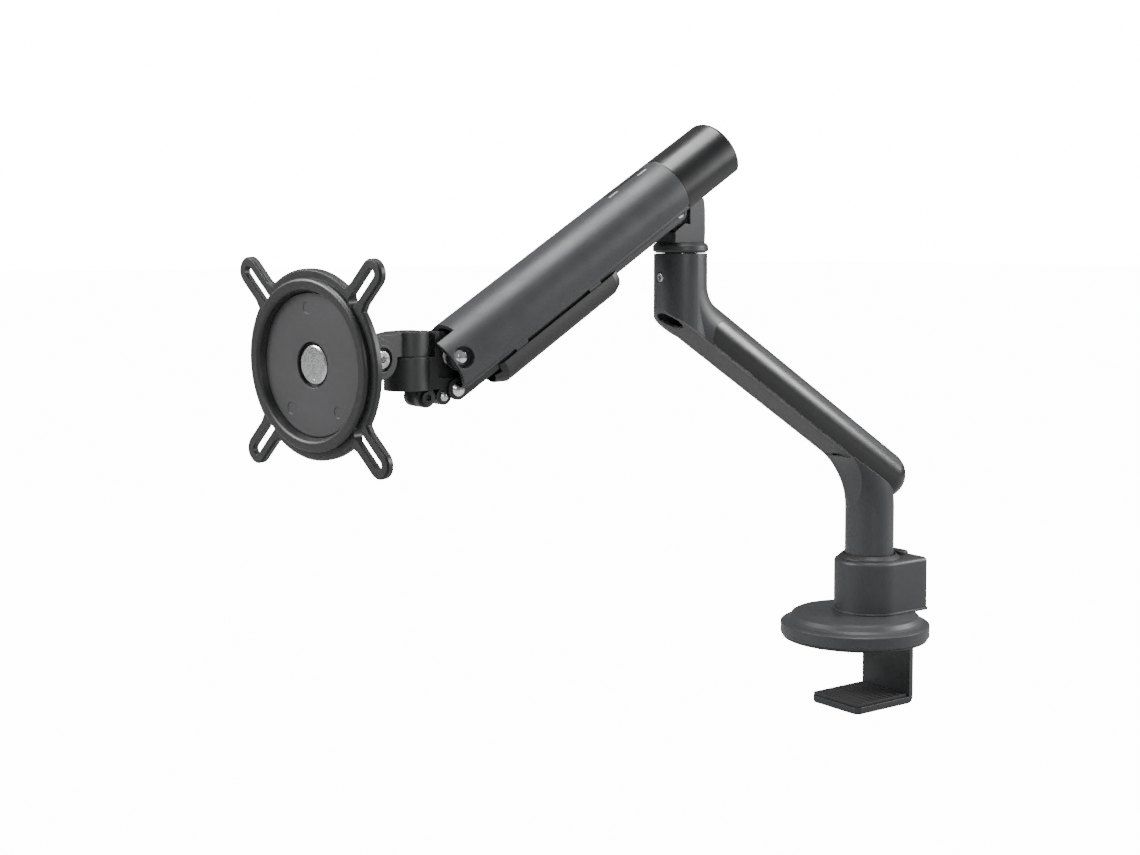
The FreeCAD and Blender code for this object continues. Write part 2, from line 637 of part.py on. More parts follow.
def make_swivel_bushes():
    inner, outer = "spindle_radius + run_gap", "spindle_radius + bush_wall"
    keep("post_bush_lower", sleeve("post_bush_lower", WORLD, inner, outer, POST_LOW,
                                   f"{POST_LOW} + bush_long"))
    keep("post_bush_upper", sleeve("post_bush_upper", WORLD, inner, outer, "spindle_top - bush_long - 2",
                                   "spindle_top - 2"))
    keep("elbow_bush_lower", sleeve("elbow_bush_lower", ELBOW, inner, outer, f"{HIGH_CORNER} + 6",
                                    f"{HIGH_CORNER} + 17"))
    keep("elbow_bush_upper", sleeve("elbow_bush_upper", ELBOW, inner, outer, "socket_top - 21",
                                    "socket_top"))
    screw = turned("set_screw_blank", SET_SCREW, [
        (0, outer), (1.6, outer), (2.5, f"{outer} + 1"),
        (2.5, "post_radius - 1.6"), (3.0, "post_radius - 1.6"), (3.0, "post_radius - 0.3"),
        (2.5, "post_radius + 0.2"), (0, "post_radius + 0.2")])
    keep("elbow_set_screw", hex_socket("elbow_set_screw", screw, SET_SCREW, 1.5, "post_radius + 0.2", 1.6))


# ---- elbow --------------------------------------------------------------------------------------
RING_BED = "(socket_top + face_gap)"


def make_elbow_turned():
    keep("elbow_washer", sleeve("elbow_washer", ELBOW, "spindle_radius", "post_radius - 1.1", RING_BED,
                                "ring_low"))
    keep("elbow_ring", turned("elbow_ring", ELBOW, [
        ("spindle_radius", "ring_low"), ("ring_radius - 0.8", "ring_low"), ("ring_radius", "ring_low + 1"),
        ("ring_radius", "ring_high - 2.2"), ("ring_radius - 1.2", "ring_high - 0.4"),
        ("ring_radius - 2.4", "ring_high"), ("spindle_radius", "ring_high")]))
    keep("elbow_spindle", turned("elbow_spindle", ELBOW, [
        (0, f"{HIGH_CORNER} + 7"), ("spindle_radius - 1", f"{HIGH_CORNER} + 7"),
        ("spindle_radius", f"{HIGH_CORNER} + 8"), ("spindle_radius", "ring_high + 7"), (0, "ring_high + 7")]))


def make_yoke():
    """Frame: the rear pivot. The stem stands on the ring, and the lobe reaches into the tube."""
    foot = "(ring_high - rear_pivot_height)"
    front, rear = "(rear_pivot_back - yoke_front)", "(rear_pivot_back + yoke_rear)"
    here = turned_place(0, REAR_PIVOT_Y, "rear_pivot_height", X_AXIS, 0)
    stem = block("yoke_stem", here, "YZ_Plane", [
        (f"{front} - 1", foot), (rear, foot), (f"{rear} + 0.4", f"{foot} + 8"),
        (f"{rear} + 0.2", f"{foot} + 22"), (f"{rear} - 1", f"{foot} + 29"), (12.5, f"{foot} + 29"),
        (10.5, f"{foot} + 24"), (10.5, f"{foot} + 12"),
        ("link_shift + 4", "-link_drop - 7.4"), (f"{front} - 1", "-link_drop - 12.9")], "2 * yoke_half")
    lobe = block("yoke_lobe", here, "YZ_Plane", [
        (0, f"{foot} + 6"), (f"{rear} - 3", f"{foot} + 6"), (f"{rear} - 4", -12), (9, -2, 9),
        (0, 9, 9), (-9, 0), (-8, -8), (-3.4, "-link_drop + 1", 6),
        ("link_shift - 3", "-link_drop - 6")], "2 * lobe_half")
    holes = fuse("yoke_holes", [
        rod("rear_pin_hole", here * ALONG_X, "pivot_pin_radius", -20, 20),
        rod("link_pin_hole", LINK * ALONG_X, "link_pin_radius", -20, 20),
        rod("yoke_spindle_hole", ELBOW, "spindle_radius", "ring_high - 1", "ring_high + 7")])
    keep("elbow_yoke", cut("elbow_yoke_solid", fuse("yoke_blank", [stem, lobe]), holes))


def pin(label, place, radius, half, head_radius, head_depth):
    """A pin along X with domed heads outside the pieces that it holds."""
    left, right = f"-({half})", f"({half})"
    return turned(label, place * ALONG_X, [
        (0, f"{left} - {head_depth}"), (f"({head_radius}) * 0.6", f"{left} - {head_depth} * 0.85"),
        (head_radius, f"{left} - {head_depth} * 0.3"), (head_radius, left), (radius, left),
        (radius, right), (head_radius, right), (head_radius, f"{right} + {head_depth} * 0.3"),
        (f"({head_radius}) * 0.6", f"{right} + {head_depth} * 0.85"), (0, f"{right} + {head_depth}")])


LINK_PIN_HALF = "(link_half + 0.15)"
FRONT_LINK = LINK * turned_place(0, "-arm_long", 0, X_AXIS, 0)
FRONT_PIVOT = ARM * turned_place(0, "-arm_long", 0, X_AXIS, 0)


def make_pins():
    keep("rear_pivot_pin", turned("rear_pivot_pin", ARM * ALONG_X, [
        (0, -16.8), ("pivot_pin_radius - 0.8", -16.8), ("pivot_pin_radius", -16), ("pivot_pin_radius", 16),
        ("pivot_pin_radius - 0.8", 16.8), (0, 16.8)]))
    keep("front_pivot_pin", pin("front_pivot_pin", FRONT_PIVOT, "pivot_pin_radius", "tube_radius - 5",
                                "pivot_pin_radius + 1.1", 2.6))
    keep("rear_link_pin", pin("rear_link_pin", LINK, "link_pin_radius", LINK_PIN_HALF,
                              "link_pin_radius + 1.2", 1.6))
    keep("front_link_pin", pin("front_link_pin", FRONT_LINK, "link_pin_radius", LINK_PIN_HALF,
                               "link_pin_radius + 1.2", 1.6))


# ---- upper arm ----------------------------------------------------------------------------------
TUBE_AXIS = ARM * turned_place(0, 0, "-tube_drop", X_AXIS, 90)
FRONT_END = "(arm_long + tube_front)"
CUT_LEVEL = "(-tube_drop - tube_cut)"


def below_cut(name, low, high):
    return brick(name, ARM, -40, 40, f"-({high})", f"-({low})", -70, CUT_LEVEL)


def pivot_boss(name, along):
    here = ARM * turned_place(0, f"-({along})", 0, X_AXIS, 0) * ALONG_X
    disc = rod(name, here, "boss_radius", "-tube_radius", "tube_radius")
    trimmed = common(name + "_in_tube", disc, rod(name + "_limit", TUBE_AXIS, "tube_radius - 1.6", -60, 260))
    return cut(name + "_pair", trimmed, rod(name + "_gap", here, 30, "-boss_inner", "boss_inner"))


def make_tube():
    inner = "(tube_radius - tube_wall)"
    shell = fuse("tube_outside", [
        rod("tube_main", TUBE_AXIS, "tube_radius", "seam_place", FRONT_END),
        rod("tube_spigot", TUBE_AXIS, "tube_radius - cap_wall - 0.1", "-spigot_back", "seam_place + 5")])
    hollow = cut("tube_hollow", shell, rod("tube_inside", TUBE_AXIS, inner, -60, 260))
    walls = fuse("tube_walls", [hollow, pivot_boss("rear_boss", 0), pivot_boss("front_boss", "arm_long")])
    rims = [brick(f"rim_step_{side}", ARM, low, high, f"-{FRONT_END} - 1", 60, -40, "-tube_drop - 10.4")
            for side, low, high in (("right", "tube_radius - 4.1", 40), ("left", -40, "4.1 - tube_radius"))]
    here = ARM * turned_place(0, "-arm_long", 0, X_AXIS, 0) * ALONG_X
    tools = fuse("tube_tools", rims + [
        below_cut("tube_floor", -60, 260),
        brick("front_notch", ARM, "-notch_half", "notch_half", f"-{FRONT_END} - 1",
              f"-{FRONT_END} + notch_long", 0, 40),
        brick("indicator_slot", ARM, "-slot_wide / 2", "slot_wide / 2", "-slot_end", "-slot_start", 0, 40),
        rod("rear_pin_bore", ARM * ALONG_X, "pivot_pin_radius + run_gap", -19, 19),
        rod("front_pin_bore", here, "pivot_pin_radius + run_gap", -30, 30),
        rod("front_hole_right", here, "side_hole_radius", "tube_radius - 5", 40),
        rod("front_hole_left", here, "side_hole_radius", -40, "5 - tube_radius")])
    keep("upper_arm_tube", cut("upper_tube_solid", walls, tools))


TENSION = ARM * turned_place(0, 0, "-tube_drop - tension_drop", X_AXIS, 90)
STRUT = ARM * turned_place(0, 0, "-tube_drop + strut_rise", X_AXIS, 90)


def make_rear_cap():
    back = "(-cap_back)"
    blank = turned("cap_blank", TUBE_AXIS, [
        (0, back), ("tube_radius - 3", back), ("tube_radius - 0.9", f"{back} + 0.9"),
        ("tube_radius", f"{back} + 3"), ("tube_radius", "seam_place - 0.5"),
        ("tube_radius - 0.4", "seam_place - 0.1"), ("tube_radius - cap_wall", "seam_place - 0.1"),
        ("tube_radius - cap_wall", f"{back} + 2"), (0, f"{back} + 2")])
    keep("rear_cap", cut("rear_cap_solid", blank, below_cut("cap_floor", -60, 10)))


def make_indicator():
    lens = brick("lens_blank", ARM, "-slot_wide / 2 + 0.1", "slot_wide / 2 - 0.1", "-slot_end + 0.1",
                 "-slot_start - 0.1", 0, 30)
    shell = cut("lens_shell", rod("lens_outer", TUBE_AXIS, "tube_radius - 0.5", 0, 80),
                rod("lens_inner", TUBE_AXIS, "tube_radius - 1.8", -1, 81))
    keep("indicator_window", common("indicator_window_solid", lens, shell))


CARRIAGE_MIDDLE, CARRIAGE_HALF = 31, 4


def make_tension_gear():
    low, high = CARRIAGE_MIDDLE - CARRIAGE_HALF, CARRIAGE_MIDDLE + CARRIAGE_HALF
    carriage = brick("carriage_block", ARM, -7, 7, -high, -low, "-tube_drop - tension_drop - 5.4", 8)
    finger = brick("carriage_finger", ARM, -1.2, 1.2, -CARRIAGE_MIDDLE - 1.5, -CARRIAGE_MIDDLE + 1.5, 8,
                   "tube_radius - tube_drop - 2.2")
    bore = rod("carriage_bore", TENSION, "3 + run_gap", 0, 80)
    keep("tension_carriage", cut("tension_carriage_solid", fuse("carriage_blank", [carriage, finger]), bore))
    head, top = "strut_end + 12.3", "strut_end + 16"
    screw = turned("tension_blank", TENSION, [
        (0, 21), (2.2, 21), (3, 22), (3, head), (5, head), (5, f"{top} - 0.6"), (4.4, top), (0, top)])
    keep("tension_screw", hex_socket("tension_screw", screw, TENSION, 2.6, top, 3))
    wide = brick("holder_wide", ARM, -12.2, 12.2, "-strut_end - 12", "-strut_end - 6", -7, "-tube_drop + 12")
    foot = brick("holder_foot", ARM, -5.5, 5.5, "-strut_end - 12", "-strut_end - 6",
                 "-tube_drop - tension_drop - 4.5", -7)
    plate = fuse("holder_blank", [wide, foot])
    bore = fuse("holder_bore", [
        rod("holder_screw_bore", TENSION, "3 + run_gap", "strut_end", "strut_end + 20"),
        rod("holder_strut_bore", STRUT, "rod_radius", "strut_end", "strut_end + 20")])
    keep("spring_holder", cut("spring_holder_solid", plate, bore))


def make_gas_strut():
    keep("gas_strut_body", turned("gas_strut_body", STRUT, [
        ("rod_radius + run_gap", "strut_start"), ("strut_radius - 1.6", "strut_start"),
        ("strut_radius", "strut_start + 1.6"),
        ("strut_radius", "strut_end - 2"), ("strut_radius - 2", "strut_end"), ("rod_radius", "strut_end"),
        ("rod_radius", "strut_end + 12"), (0, "strut_end + 12"), (0, "strut_end - 8"),
        ("rod_radius + run_gap", "strut_end - 8")]))
    seat = CARRIAGE_MIDDLE + CARRIAGE_HALF
    keep("gas_strut_rod", turned("gas_strut_rod", STRUT, [
        (0, seat), (6, seat), (6, seat + 3), ("rod_radius", seat + 4.5), ("rod_radius", "strut_end - 22"),
        (0, "strut_end - 22")]))


def make_cable_clip():
    """The round cable shell that hooks on the tube's lower edges."""
    low = "(-tube_drop - clip_drop)"
    axis = ARM * turned_place(0, 0, low, X_AXIS, 90)
    outer = turned("clip_outer", axis, [
        (0, "clip_start"), ("clip_radius - 6", "clip_start"), ("clip_radius - 1.8", "clip_start + 2.2"),
        ("clip_radius", "clip_start + 7"), ("clip_radius", "clip_end - 10"),
        ("clip_radius - 4", "clip_end - 3"), ("clip_radius - 9", "clip_end"), (0, "clip_end")])
    inner = turned("clip_inner", axis, [
        (0, "clip_start - 1"), ("clip_radius - 7", "clip_start - 1"),
        ("clip_radius - clip_wall", "clip_start + 8"), ("clip_radius - clip_wall", "clip_end - 12"),
        ("clip_radius - 6", "clip_end + 1"), (0, "clip_end + 1")])
    link_room = brick("clip_link_room", ARM, "-link_half - 0.4", "link_half + 0.4", -260, 40,
                      "-link_drop - link_radius - 0.6", 60)
    above = brick("clip_above", ARM, -40, 40, -260, 40, f"{low} + 2.4", 60)
    trough = cut("clip_trough", cut("clip_shell", outer, inner), fuse("clip_room", [above, link_room]))
    hooks = []
    outside, inside = "(hook_edge - hook_gap)", "(hook_edge - hook_gap - 0.9)"
    for number, along in enumerate(("clip_start + 22", "clip_end - 26")):
        for side, x_low, x_high in (("right", inside, outside), ("left", f"-{outside}", f"-{inside}")):
            hooks.append(brick(f"clip_hook_{number}_{side}", ARM, x_low, x_high, f"-({along}) - 5",
                               f"-({along}) + 5", f"{low} + 1", f"{CUT_LEVEL} + 3"))
    keep("upper_cable_clip", fuse("upper_cable_clip_solid", [trough] + hooks))


def make_link():
    """The lower bar of the parallelogram: a folded channel, open at the top."""
    def side_line():
        r = "link_radius"
        return [(0, f"-{r}", r), (r, 0, r), (0, r), ("-arm_long", r, r), (f"-arm_long - {r}", 0, r),
                ("-arm_long", f"-{r}")]
    outer = block("link_outer", LINK, "YZ_Plane", side_line(), "2 * link_half")
    hollow = brick("link_hollow", LINK, "-link_half + link_wall", "link_half - link_wall", "-arm_long - 40", 40,
                   "-link_radius + link_wall", 40)
    ends = [brick("link_rear_end", LINK, "-link_half + link_wall", "link_half - link_wall", -15, 40, -40, 40),
            brick("link_front_end", LINK, "-link_half + link_wall", "link_half - link_wall", "-arm_long - 40",
                  "-arm_long + 15", -40, 40)]
    bores = [rod("link_rear_bore", LINK * ALONG_X, "link_pin_radius + run_gap", -20, 20),
             rod("link_front_bore", FRONT_LINK * ALONG_X, "link_pin_radius + run_gap", -20, 20)]
    keep("lower_link", cut("lower_link_solid", outer, fuse("link_tools", [hollow] + ends + bores)))


# ---- front bracket and head ---------------------------------------------------------------------
PAN = BRACKET * turned_place(0, "-pan_reach", 0, X_AXIS, 0)
LOBE_Y, LOBE_Z, PIN_LOBE_Y = -18.4, -23.5, -6.4


def lobe_place(y):
    """Across the bracket, through one of the two lobes under its barrel."""
    return BRACKET * turned_place(0, y, LOBE_Z, X_AXIS, 0) * ALONG_X


def make_bracket():
    """Frame: the front pivot. A barrel for the pan pin, a narrow tongue in the tube and two lobes."""
    web = block("bracket_web", BRACKET, "YZ_Plane", [
        ("-pan_reach", "-barrel_low"), (-8, "-barrel_low"), ("link_shift - 4", "-link_drop - 3"),
        (1.5, -25.2, 6), ("link_shift + 6.2", "-link_drop", 6), (5, -14), (9, -3, 9), (4, 8.1),
        (-4, 14.5), (-12.2, 15.2), (-12.2, "barrel_high - 0.5"), ("-pan_reach", "barrel_high - 0.5")],
        "2 * lobe_half")
    barrel = rod("bracket_barrel", PAN, "barrel_radius", "-barrel_low", "barrel_high")
    lobes = [rod(name, lobe_place(y), size, "-lobe_half", "lobe_half")
             for name, y, size in (("screw_lobe", LOBE_Y, 6), ("pin_lobe", PIN_LOBE_Y, 5))]
    away = [rod("lug_scoop", PAN, "barrel_radius + 1.2", "barrel_high", 40)]
    away += [brick(f"tongue_side_{side}", BRACKET, low, high, -9.5, 40, -12.5, 40)
             for side, low, high in (("right", "tongue_half", 40), ("left", -40, "-tongue_half"))]
    blank = cut("bracket_scooped", fuse("bracket_blank", [web, barrel] + lobes), fuse("bracket_cuts", away))
    holes = [rod("bracket_pan_bore", PAN, "5", -60, 60),
             rod("circlip_room", PAN, 6.9, "-barrel_low", "-barrel_low + 3"),
             rod("bracket_pivot_bore", BRACKET * ALONG_X, "pivot_pin_radius + 1", -20, 20),
             rod("bracket_link_bore", FRONT_LINK * ALONG_X, "link_pin_radius", -20, 20)]
    for name, y, size in (("clamp_screw_bore", LOBE_Y, 2.5), ("stop_pin_bore", PIN_LOBE_Y, 2)):
        holes.append(rod(name, lobe_place(y), size, -20, 20))
    keep("front_bracket", cut("front_bracket_solid", blank, fuse("bracket_holes", holes)))


def make_bracket_details():
    screw = turned("pan_lock_blank", lobe_place(LOBE_Y), [
        (0, "-lobe_half"), (2.5, "-lobe_half"), (2.5, "lobe_half"), (4.2, "lobe_half"),
        (4.2, "lobe_half + 1.6"), (3.6, "lobe_half + 2.2"), (0, "lobe_half + 2.2")])
    keep("pan_lock_screw", hex_socket("pan_lock_screw", screw, lobe_place(LOBE_Y), 2.2,
                                      "lobe_half + 2.2", 1.6))
    keep("bracket_stop_pin", turned("bracket_stop_pin", lobe_place(PIN_LOBE_Y), [
        (0, "-lobe_half - 0.6"), (1.6, "-lobe_half - 0.6"), (2, "-lobe_half"), (2, "lobe_half"),
        (3, "lobe_half"), (2.6, "lobe_half + 1"), (1.4, "lobe_half + 1.6"), (0, "lobe_half + 1.8")]))
    keep("front_pivot_bush", sleeve("front_pivot_bush", BRACKET * ALONG_X, "pivot_pin_radius + run_gap",
                                    "pivot_pin_radius + 1", "-tongue_half - 0.8", "tongue_half + 0.8"))
    keep("pan_bush", turned("pan_bush", PAN, [
        ("4 + run_gap", "-barrel_low + 3"), (5, "-barrel_low + 3"), (5, "barrel_high"),
        ("barrel_radius - 0.6", "barrel_high"), ("barrel_radius - 0.6", "barrel_high + 0.7"),
        ("4 + run_gap", "barrel_high + 0.7")]))


LUG_LOW = "(barrel_high + 0.9)"


def make_neck():
    """Frame: the pan axis. A round lug, a beam and the knuckle's middle lug."""
    lug = rod("neck_lug", HEAD, "barrel_radius - 0.5", LUG_LOW, "lug_high")
    beam = block("neck_beam", HEAD, "YZ_Plane", [
        (0, LUG_LOW), (0, "lug_high"), (-12, "lug_high"), (-18, "lug_high - 0.9"),
        ("-tilt_reach", "tilt_rise + knuckle_radius - 0.2"),
        ("-tilt_reach", "tilt_rise - knuckle_radius + 1"), ("-tilt_reach + 8", LUG_LOW)], "2 * neck_half")
    knuckle = rod("neck_knuckle", TILT * ALONG_X, "knuckle_radius", "-knuckle_half", "knuckle_half")
    holes = fuse("neck_holes", [rod("neck_tilt_bore", TILT * ALONG_X, "4 + run_gap", -30, 30),
                                rod("neck_pan_bore", HEAD, "4", -30, 40)])
    keep("pan_neck", cut("pan_neck_solid", fuse("neck_blank", [lug, beam, knuckle]), holes))
    keep("pan_pin", turned("pan_pin", HEAD, [
        (0, "-barrel_low + 0.6"), (3.4, "-barrel_low + 0.6"), (4, "-barrel_low + 1.2"), (4, "lug_high"),
        (7.4, "lug_high"), (7.3, "lug_high + 0.3"), (6.6, "lug_high + 0.6"), (0, "lug_high + 0.7")]))


def make_pan_circlip():
    keep("pan_circlip", sleeve("pan_circlip", HEAD, 4, 6.2, "-barrel_low + 1.5", "-barrel_low + 2.7"))


def make_tilt_block():
    cheeks = block("cheek_blank", TILT, "YZ_Plane", [
        (-22, "-cheek_radius"), (0, "-cheek_radius", "cheek_radius"), ("cheek_radius", 0, "cheek_radius"),
        (0, "cheek_radius"), (-22, "cheek_radius")], "2 * cheek_half")
    hub = rod("hub_blank", PLATE, "hub_radius", "knuckle_radius + 2", "hub_face")
    gap = rod("cheek_gap", TILT * ALONG_X, "knuckle_radius + 0.6", "-knuckle_half - 0.3", "knuckle_half + 0.3")
    behind = brick("cheek_slot", TILT, "-knuckle_half - 0.3", "knuckle_half + 0.3", 0, 40, -40, 40)
    recess = [rod(f"cheek_recess_{side}", TILT * ALONG_X, "cheek_radius - 4.6", low, high)
              for side, low, high in (("right", "cheek_half - 1.2", 40), ("left", -40, "1.2 - cheek_half"))]
    rims = [rod(f"cheek_rim_{side}", TILT * ALONG_X, "cheek_radius - 3.2", low, high)
            for side, low, high in (("right", "cheek_half - 2", "cheek_half + 0.8"),
                                    ("left", "-cheek_half - 0.8", "-cheek_half + 2"))]
    tools = fuse("block_tools", recess + [
        gap, behind, rod("block_tilt_bore", TILT * ALONG_X, "4", -40, 40),
        rod("block_swivel_bore", PLATE, "swivel_radius", 0, 60)])
    keep("tilt_block", cut("tilt_block_solid", fuse("block_blank", [cheeks, hub] + rims), tools))


def make_tilt_screw():
    shank = turned("tilt_screw_blank", TILT * ALONG_X, [
        (0, "-cheek_half + 1.2"), (4, "-cheek_half + 1.2"), (4, "cheek_half - 1.2"), (5.2, "cheek_half - 1.2"),
        (5.2, "cheek_half + 0.6"), (4.6, "cheek_half + 1.2"), (0, "cheek_half + 1.2")])
    keep("tilt_screw", hex_socket("tilt_screw", shank, TILT * ALONG_X, 2.3, "cheek_half + 1.2", 2.2))
    keep("tilt_nut", turned("tilt_nut", TILT * ALONG_X, [
        (4, "-cheek_half - 2"), (5.6, "-cheek_half - 2"), (6.3, "-cheek_half - 1.4"),
        (6.3, "-cheek_half + 1.2"), (4, "-cheek_half + 1.2")]))


def make_vesa_plate():
    owner = turned("plate_blank", PLATE, [
        ("swivel_radius + 3", "plate_back"), ("hub_radius + 3", "plate_back"), ("plate_radius - 4.5", "plate_back"),
        ("plate_radius", "ear_face - 4"), ("plate_radius", "ear_face - 1"), ("plate_radius - 1", "ear_face"),
        ("ring_outer - 1.5", "ear_face"), ("ring_outer - 1.5", "dish_floor"), ("button_bore", "dish_floor"),
        ("button_bore", "plate_back + 2.4"), ("swivel_radius + 3", "plate_back + 2.4")])
    ear = sketch(owner, "ear_line", "XY_Plane", "ear_face - ear_depth")
    outline(ear, [("ring_outer - 0.5", "-ear_half - 3"), ("plate_radius - 2", "-ear_half - 1.6"),
                  ("plate_radius + 3.5", "-ear_half"), ("slot_outer", "-ear_half", "ear_half"),
                  ("slot_outer + ear_half", 0, "ear_half"), ("slot_outer", "ear_half"),
                  ("plate_radius + 3.5", "ear_half"), ("plate_radius - 2", "ear_half + 1.6"),
                  ("ring_outer - 0.5", "ear_half + 3")])
    arm = pad(owner, ear, "ear_depth - 0.9")
    top = sketch(owner, "ear_top_line", "XY_Plane", "ear_face - 0.9")
    outline(top, [("plate_radius - 2", "-ear_half - 0.6"), ("plate_radius + 3.5", "-ear_half + 1"),
                  ("slot_outer", "-ear_half + 1", "ear_half - 1"), ("slot_outer + ear_half - 1", 0, "ear_half - 1"),
                  ("slot_outer", "ear_half - 1"), ("plate_radius + 3.5", "ear_half - 1"),
                  ("plate_radius - 2", "ear_half + 0.6")])
    cap = pad(owner, top, "0.9")
    slot = sketch(owner, "ear_slot_line", "XY_Plane", "ear_face - ear_depth - 6")
    outline(slot, [("slot_inner", "-slot_half"), ("slot_outer", "-slot_half", "slot_half"),
                   ("slot_outer + slot_half", 0, "slot_half"), ("slot_outer", "slot_half"),
                   ("slot_inner", "slot_half", "slot_half"), ("slot_inner - slot_half", 0, "slot_half")])
    gap = pocket(owner, slot, "ear_depth + 8", against=True)
    pattern = owner.newObject("PartDesign::PolarPattern", "four_ears")
    pattern.Originals = [arm, cap, gap]
    pattern.Axis = (ear, ["N_Axis"])
    pattern.Occurrences = 4
    pattern.Angle = 360
    owner.Tip = pattern
    owner.Placement = PLATE * Place(Vec(), Turn(Z_AXIS, 45))
    keep("vesa_plate", owner)


def make_plate_details():
    keep("plate_ring", turned("plate_ring", PLATE, [
        ("ring_inner - 1", "dish_floor"), ("ring_outer - 1.5", "dish_floor"), ("ring_outer - 1.5", "ear_face"),
        ("ring_outer", "ear_face"), ("ring_outer", "ring_face - 1.5"),
        ("ring_outer - 0.5", "ring_face - 0.5"), ("ring_outer - 1.5", "ring_face"),
        ("ring_inner + 2", "ring_face"), ("ring_inner + 1", "ring_face - 0.4"),
        ("ring_inner + 0.3", "ring_face - 1.3")]))
    disc = sleeve("dish_blank", PLATE, "button_bore", "ring_inner - 1.2", "dish_floor", "dish_floor + 0.8")
    marks = []
    for number, angle in enumerate((95, 232, 308)):
        turn = PLATE * Place(Vec(), Turn(Z_AXIS, angle)) * turned_place("mark_spread", 0, 0, X_AXIS, 0)
        marks.append(rod(f"dish_mark_{number}", turn, 3.2, "dish_floor + 0.55", "dish_floor + 2"))
    keep("dish_disc", cut("dish_disc_solid", disc, fuse("dish_marks", marks)))
    keep("swivel_bush", turned("swivel_bush", PLATE, [
        ("swivel_radius + run_gap", "plate_back - 0.6"), ("hub_radius - 0.5", "plate_back - 0.6"),
        ("hub_radius - 0.5", "plate_back"), ("swivel_radius + 3", "plate_back"),
        ("swivel_radius + 3", "plate_back + 2.4"), ("swivel_radius + run_gap", "plate_back + 2.4")]))
    bolt = turned("swivel_bolt_blank", PLATE, [
        (0, "knuckle_radius + 3"), ("swivel_radius", "knuckle_radius + 3"), ("swivel_radius", "plate_back + 2.7"),
        ("button_radius", "plate_back + 2.7"), ("button_radius", "dish_floor - 0.3"),
        ("button_radius - 0.8", "dish_floor + 0.3"), (0, "dish_floor + 0.3")])
    slit = brick("bolt_slit", PLATE, -0.8, 0.8, -8.2, 8.2, "dish_floor + 0.1", "dish_floor + 2")
    keep("swivel_bolt", cut("swivel_bolt_solid", bolt, slit))


MAKERS = [make_base_plate, make_base_pad, make_clamp_housing, make_clamp_details, make_clamp_jaw,
          make_clamp_screw, make_lower_casting, make_lower_cover, make_cable_tray, make_swivel_bushes,
          make_elbow_turned, make_yoke, make_pins, make_tube, make_rear_cap, make_indicator,
          make_tension_gear, make_gas_strut, make_cable_clip, make_link, make_bracket,
          make_bracket_details, make_neck, make_pan_circlip, make_tilt_block, make_tilt_screw,
          make_vesa_plate, make_plate_details]


def check_document():
    """Stops the build if any object failed or any sub-part isn't sound solid metal."""
    doc.recompute()
    failed = [item.Label for item in doc.Objects if {"Invalid", "Error"} & set(item.State)]
    for label, piece in nodes.items():
        if piece.Shape.isNull() or not piece.Shape.isValid() or not piece.Shape.Solids:
            failed.append(label)
    if failed:
        raise RuntimeError("failed objects: " + ", ".join(failed))


def export_nodes():
    os.makedirs("parts", exist_ok=True)
    for label, piece in nodes.items():
        piece.Shape.exportStep(f"parts/{label}.step")
        print(f"{label}: {len(piece.Shape.Solids)} solid(s), {piece.Shape.Volume:.1f} mm3")


for maker in MAKERS:
    maker()
check_document()
export_nodes()
print(len(nodes), "nodes")
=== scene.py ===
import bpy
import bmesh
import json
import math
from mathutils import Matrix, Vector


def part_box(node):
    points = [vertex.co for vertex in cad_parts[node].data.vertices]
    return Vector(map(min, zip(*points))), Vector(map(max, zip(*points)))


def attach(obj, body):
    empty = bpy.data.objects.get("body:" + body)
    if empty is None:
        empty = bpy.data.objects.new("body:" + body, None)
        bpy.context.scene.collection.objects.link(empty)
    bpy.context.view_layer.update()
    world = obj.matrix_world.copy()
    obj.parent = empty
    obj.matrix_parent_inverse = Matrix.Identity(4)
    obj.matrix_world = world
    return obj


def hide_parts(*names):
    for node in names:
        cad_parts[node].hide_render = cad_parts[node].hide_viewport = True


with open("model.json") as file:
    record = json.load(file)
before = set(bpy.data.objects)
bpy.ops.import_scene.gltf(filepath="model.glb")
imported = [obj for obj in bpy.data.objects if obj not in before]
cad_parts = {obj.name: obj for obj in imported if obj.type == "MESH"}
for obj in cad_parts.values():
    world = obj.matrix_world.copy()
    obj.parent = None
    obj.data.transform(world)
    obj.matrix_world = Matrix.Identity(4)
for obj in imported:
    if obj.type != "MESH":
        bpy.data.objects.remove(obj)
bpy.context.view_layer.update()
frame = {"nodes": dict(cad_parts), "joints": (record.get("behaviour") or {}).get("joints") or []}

# %% [markdown]
# # A desk-clamp monitor arm
# The arm's real shapes come from its CAD model, loaded above: one object per part, in metres, with the
# desk's surface at height zero. This lesson gives each part its finish, adds the small moulded details
# that a CAD model leaves plain, and sets up the studio.

nodes = frame["nodes"]

# %% [markdown]
# ## Camera
# A long arm shows its shape well from a little above the desk through a medium-long lens, because near
# and far parts then keep their proportions. The camera looks slightly down, and a small shift of the
# lens does the rest of the framing, which keeps the post close to upright.

# %% Place the camera
camera_data = bpy.data.cameras.new("studio_camera")
camera_data.lens = 53.68
camera_data.sensor_width = 36.0
camera_data.shift_y = -0.08
camera = bpy.data.objects.new("studio_camera", camera_data)
bpy.context.scene.collection.objects.link(camera)
camera.location = (0.858, -0.891, 0.288)
look_down = math.radians(3.41)
look = Vector((-0.809 * math.cos(look_down), 0.588 * math.cos(look_down), -math.sin(look_down)))
camera.rotation_mode = "QUATERNION"
camera.rotation_quaternion = look.to_track_quat("-Z", "Y")
bpy.context.scene.camera = camera
print("camera at", tuple(round(v, 3) for v in camera.location))

